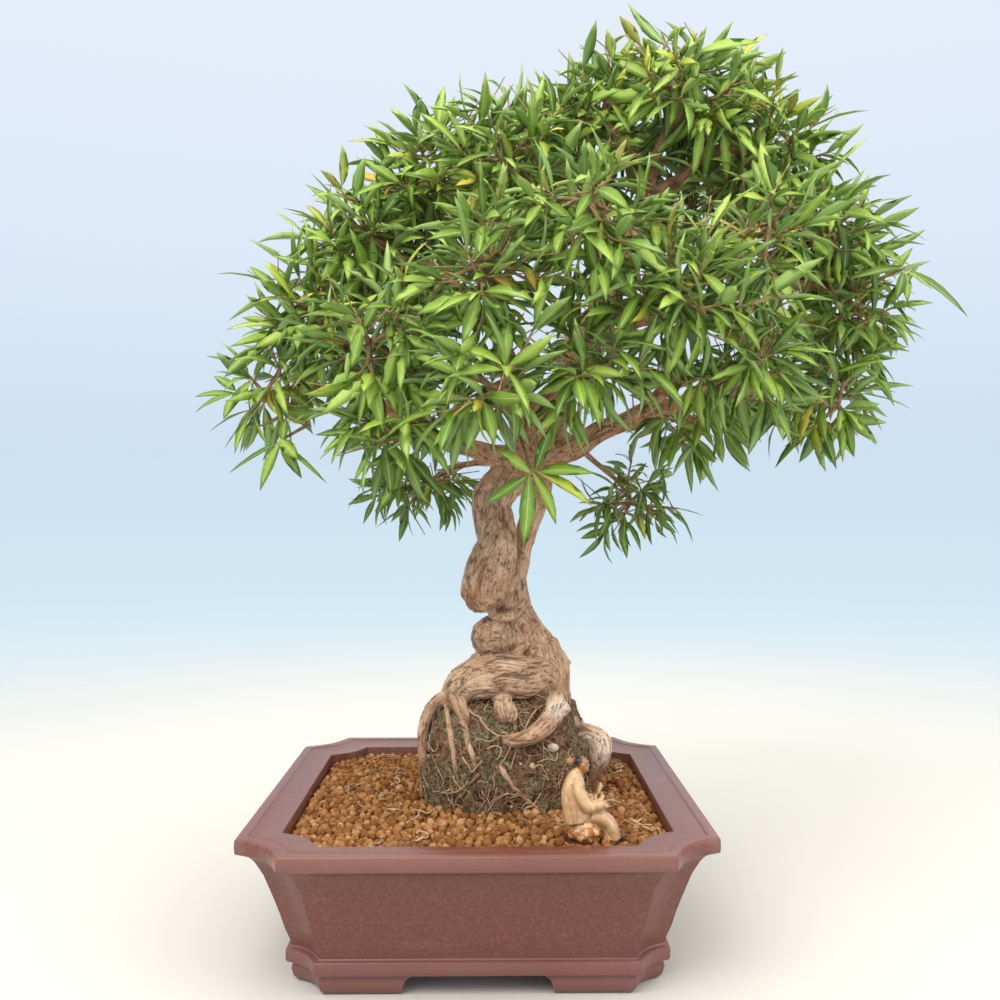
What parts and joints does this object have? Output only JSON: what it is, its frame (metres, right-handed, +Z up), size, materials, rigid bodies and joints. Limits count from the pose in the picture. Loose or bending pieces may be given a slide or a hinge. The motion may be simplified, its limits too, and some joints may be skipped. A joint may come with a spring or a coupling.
{
  "type": "potted bonsai tree",
  "caption": "Willow-leaved fig bonsai with a gnarled trunk gripping a root ball, in a square footed clay pot of grit with a small seated scholar figure.",
  "frame": {"origin": "centre of the bounding box at the level of the pot's feet", "axes": "+X to the right seen from the front, where the figure sits, +Y to the back, +Z up the trunk"},
  "size_m": [0.6362, 0.4378, 0.7596],
  "materials": {
    "pot_clay": "unglazed purple-brown clay with a dull sheen",
    "bark": "rough grey-tan bark",
    "root_fibre": "dark matted root fibre and soil",
    "grit": "matte porous tan clay granules",
    "leaf": "green leaf with a soft sheen",
    "figure_glaze": "cream and tan glaze",
    "mesh_plastic": "black plastic mesh"
  },
  "bodies": {
    "root": {"drain_screen_left": "mesh_plastic", "drain_screen_right": "mesh_plastic", "grit": "grit", "pot": "pot_clay", "root_ball": "root_fibre", "scholar_figure": "figure_glaze", "spray_back_left": "leaf", "spray_back_low": "leaf", "spray_back_right": "leaf", "spray_back_right_low": "leaf", "spray_back_top": "leaf", "spray_centre": "leaf", "spray_centre_front": "leaf", "spray_centre_front_low": "leaf", "spray_front_left_low": "leaf", "spray_front_mid": "leaf", "spray_front_right": "leaf", "spray_hang_left": "leaf", "spray_hang_right": "leaf", "spray_left": "leaf", "spray_left_front": "leaf", "spray_left_low": "leaf", "spray_left_upper": "leaf", "spray_right": "leaf", "spray_right_bottom": "leaf", "spray_right_front": "leaf", "spray_right_front_low": "leaf", "spray_right_low": "leaf", "spray_right_upper": "leaf", "spray_top": "leaf", "spray_top_right": "leaf", "spray_upper_left": "leaf", "spray_upper_left_outer": "leaf", "spray_upper_right": "leaf", "tree_wood": "bark"}
  },
  "joints": []
}
